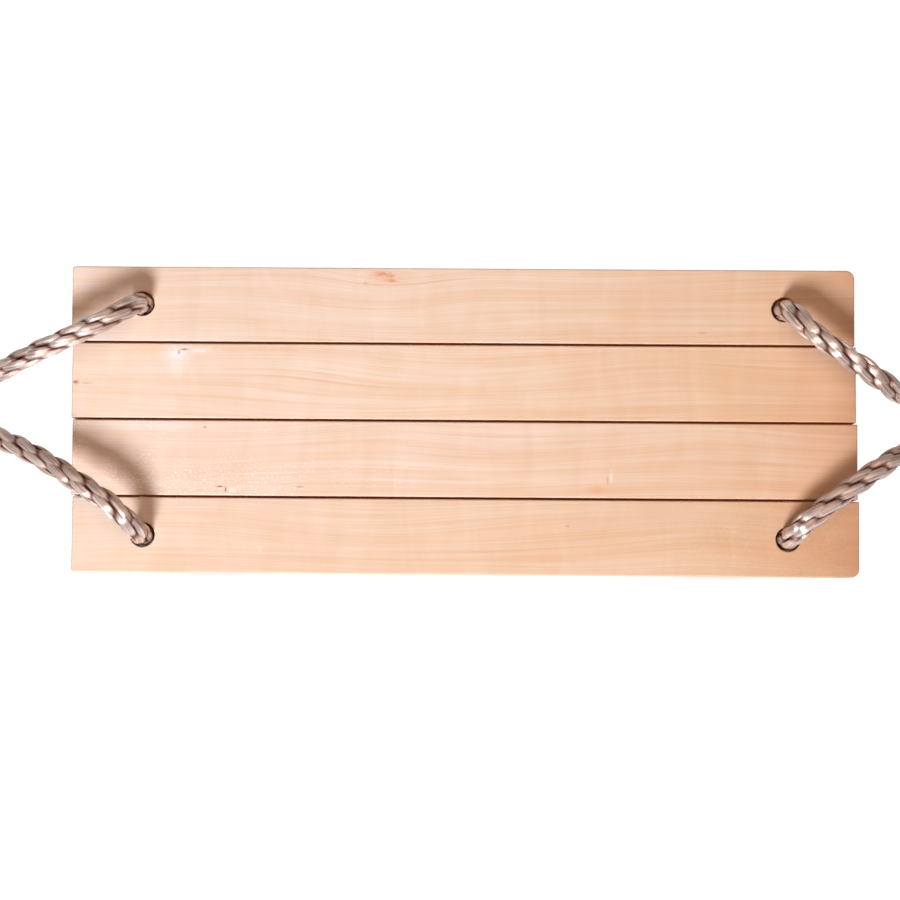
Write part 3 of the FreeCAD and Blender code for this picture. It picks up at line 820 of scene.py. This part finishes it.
def make_floor():
    """A plain white floor that shines of itself, with painted shadow under the seat and painted
    contact shade close to the ropes and other parts.
    """
    tree = Tree("floor_white")
    x, y, _ = tree.node("SeparateXYZ", Vector=tree.place()).outputs
    past_x = tree.math("SUBTRACT", tree.math("ABSOLUTE", x), SEAT_HALF_LENGTH + 6.0 * MM)
    past_y = tree.math("SUBTRACT", tree.math("ABSOLUTE", y), SEAT_HALF_WIDTH)
    open_air = tree.math("MAXIMUM", past_x, past_y)
    # Painted shadow: the floor's own light fades out under the seat and a little past its ends, and
    # ambient occlusion darkens it where parts rest on it or come close.
    clear_of_painted_seat_shadow = tree.ramp(tree.math("MULTIPLY_ADD", open_air, 40.0, 1.0), (0.75, 0.0), (1.0, 1.0))
    painted_contact_shade_ao = tree.node("AmbientOcclusion", Distance=12.0 * MM).outputs["AO"]
    shine = tree.math("MULTIPLY", clear_of_painted_seat_shadow, painted_contact_shade_ao)
    material = tree.set(
        Base_Color=(0.15, 0.15, 0.15, 1), Roughness=1.0, Specular_IOR_Level=0.0,
        Emission_Color=WHITE, Emission_Strength=shine,
    )
    reach = 30.0
    corners = [(-reach, -reach, 0), (reach, -reach, 0), (reach, reach, 0), (-reach, reach, 0)]
    floor = new_object("floor", corners, [(0, 1, 2, 3)], material, smooth=False)
    floor.location.z = -0.0005


def make_area_light(name, at, width, power, tint):
    """A square soft light that points at the middle of the seat's top."""
    data = bpy.data.lights.new(name, "AREA")
    data.size = width
    data.energy = power
    data.color = tint
    light = bpy.data.objects.new(name, data)
    light.location = at
    aim = Vector((0, 0, 0.04))
    light.rotation_euler = (aim - Vector(at)).to_track_quat("-Z", "Y").to_euler()
    bpy.context.scene.collection.objects.link(light)


def make_world(strength):
    """An even white surround."""
    world = bpy.data.worlds.new("surround")
    world.use_nodes = True
    background = world.node_tree.nodes["Background"]
    background.inputs["Color"].default_value = WHITE
    background.inputs["Strength"].default_value = strength
    bpy.context.scene.world = world


def make_camera():
    """Almost straight down on the seat, its long side level but for a slight turn."""
    data = bpy.data.cameras.new("camera")
    data.lens = 91.008
    data.sensor_width = 36.0
    data.clip_end = 50.0
    camera = bpy.data.objects.new("camera", data)
    camera.location = (0.00794, -0.10483, 1.339)
    camera.rotation_euler = Euler([math.radians(a) for a in (3.8796, 0.6569, 0.4429)])
    bpy.context.scene.collection.objects.link(camera)
    bpy.context.scene.camera = camera


make_floor()
make_area_light("key", at=(-0.65, -1.65, 1.79), width=0.7, power=66, tint=(0.96, 0.99, 1.0))
make_area_light("fill", at=(0.5, 0.4, 3.0), width=2.5, power=36, tint=(1.0, 0.66, 0.45))
make_world(strength=0.06)
make_camera()
bpy.context.scene.view_settings.view_transform = "Standard"
